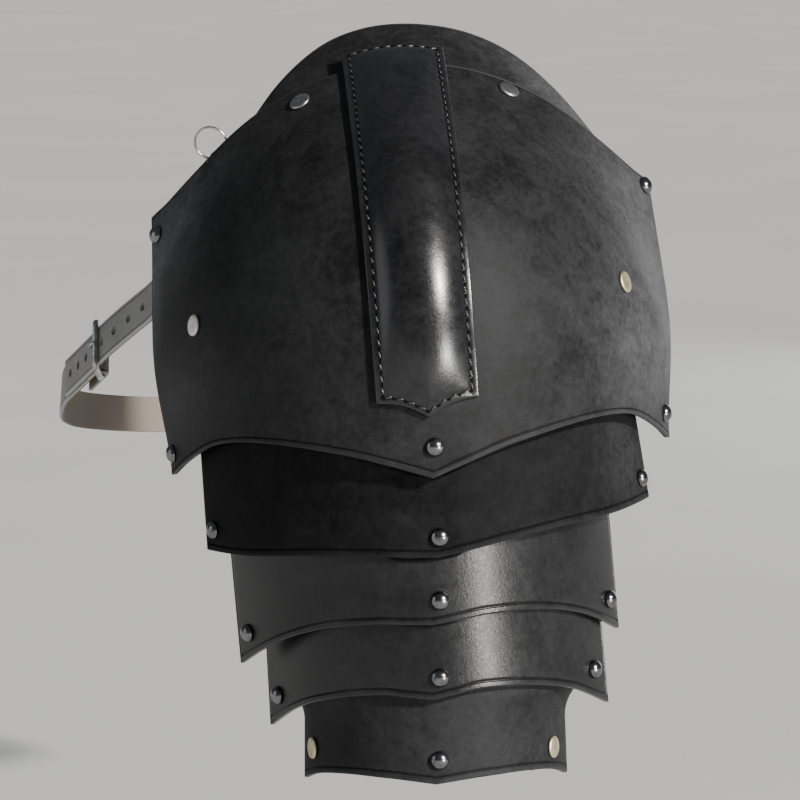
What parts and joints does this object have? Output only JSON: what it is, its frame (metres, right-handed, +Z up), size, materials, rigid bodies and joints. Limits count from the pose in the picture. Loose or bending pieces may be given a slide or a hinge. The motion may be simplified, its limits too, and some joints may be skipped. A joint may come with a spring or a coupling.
{
  "type": "pauldron",
  "caption": "Leather pauldron: domed shoulder plate with a stitched raised rib, a tucked collar, overlapping lames down the upper arm, domed rivets and a chest strap.",
  "frame": {"origin": "the seat on the wearer's shoulder, in air under the dome of the main plate", "axes": "+Z up, -Y out of the front of the plates, +X to the right of someone who faces them, +Y towards the wearer's chest"},
  "size_m": [0.3185, 0.4695, 0.3747],
  "materials": {
    "plate_leather": "satin",
    "strap_leather": "satin",
    "lining_leather": "matte",
    "rivet_steel": "polished",
    "rivet_brass": "satin",
    "steel": "satin"
  },
  "bodies": {
    "root": {"rivet_main_1": "rivet_steel", "rivet_main_2": "rivet_steel", "rivet_main_3": "rivet_steel", "rivet_main_4": "rivet_steel", "rivet_main_5": "rivet_steel", "rivet_strap_1": "rivet_steel", "rivet_strap_2": "rivet_brass", "rivet_collar_1": "rivet_steel", "rivet_collar_2": "rivet_steel", "rivet_lame_1a": "rivet_steel", "rivet_lame_1b": "rivet_steel", "rivet_lame_1c": "rivet_steel", "rivet_lame_2a": "rivet_steel", "rivet_lame_2b": "rivet_steel", "rivet_lame_2c": "rivet_steel", "rivet_lame_3a": "rivet_steel", "rivet_lame_3b": "rivet_steel", "rivet_lame_3c": "rivet_steel", "rivet_lame_4a": "rivet_brass", "rivet_lame_4b": "rivet_steel", "rivet_lame_4c": "rivet_brass", "main_plate": "plate_leather", "collar_plate": "plate_leather", "lame_1": "plate_leather", "lame_2": "plate_leather", "lame_3": "plate_leather", "lame_4": "plate_leather", "centre_panel": "plate_leather", "tie_strip": "lining_leather", "arm_strap": "lining_leather", "chest_buckle": "steel", "chest_billet": "strap_leather", "chest_strap": "strap_leather", "ring_tab": "lining_leather", "ring": "steel"}
  },
  "joints": []
}
